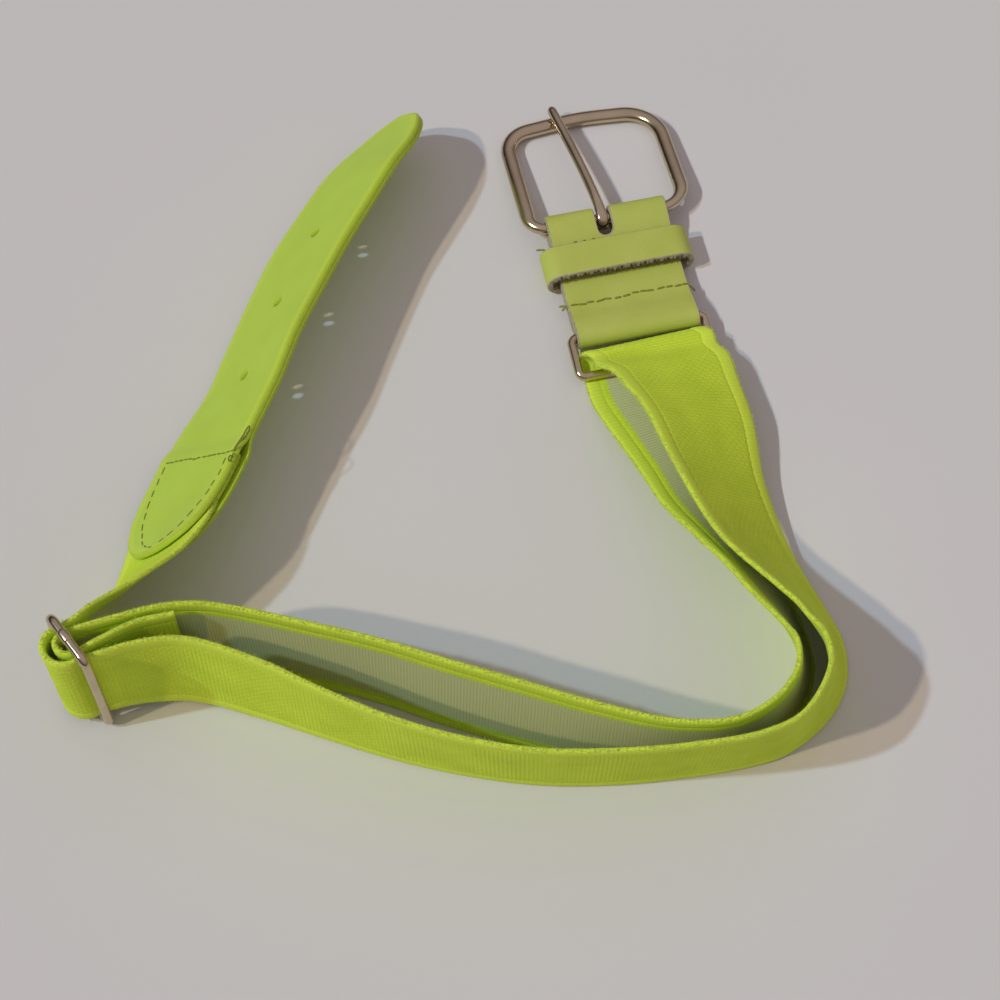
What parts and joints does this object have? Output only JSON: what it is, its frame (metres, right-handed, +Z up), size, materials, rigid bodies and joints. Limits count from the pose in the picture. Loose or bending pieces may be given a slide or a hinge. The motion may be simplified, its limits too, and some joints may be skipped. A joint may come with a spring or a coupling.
{
  "type": "uniform belt",
  "caption": "Elastic webbing uniform belt with leather tip, rectangular prong buckle on a leather tab, keeper loop, joining ring and wire slider, lying unfastened on its edge.",
  "frame": {"origin": "centre of the belt's bounding box, on the table it lies on", "axes": "+Z up from the table, +Y away from the viewer of the picture, +X to the right"},
  "size_m": [0.2195, 0.2342, 0.0449],
  "materials": {
    "webbing": "knitted elastic, neon yellow-green outside, pale grey-green inside",
    "tip_leather": "smooth yellow-green leather with painted edge",
    "tab_leather": "smooth olive-green leather",
    "metal": "warm polished nickel plate"
  },
  "bodies": {
    "strap": {"webbing": "webbing", "tip_front": "tip_leather", "tip_back": "tip_leather", "tab": "tab_leather", "keeper": "tab_leather", "ring": "metal", "slider": "metal"},
    "frame": {"buckle_frame": "metal"},
    "prong": {"prong": "metal"}
  },
  "joints": [
    {"name": "buckle_pivot", "type": "hinge", "parent": "strap", "child": "frame", "pos_m": [0.04565, 0.07238, 0.0057], "axis": [0.9759, 0.2181, 0], "range_deg": [-30, 40]},
    {"name": "prong_pivot", "type": "hinge", "parent": "frame", "child": "prong", "pos_m": [0.04565, 0.07238, 0.0057], "axis": [0.9759, 0.2181, 0], "range_deg": [0, 75]}
  ]
}
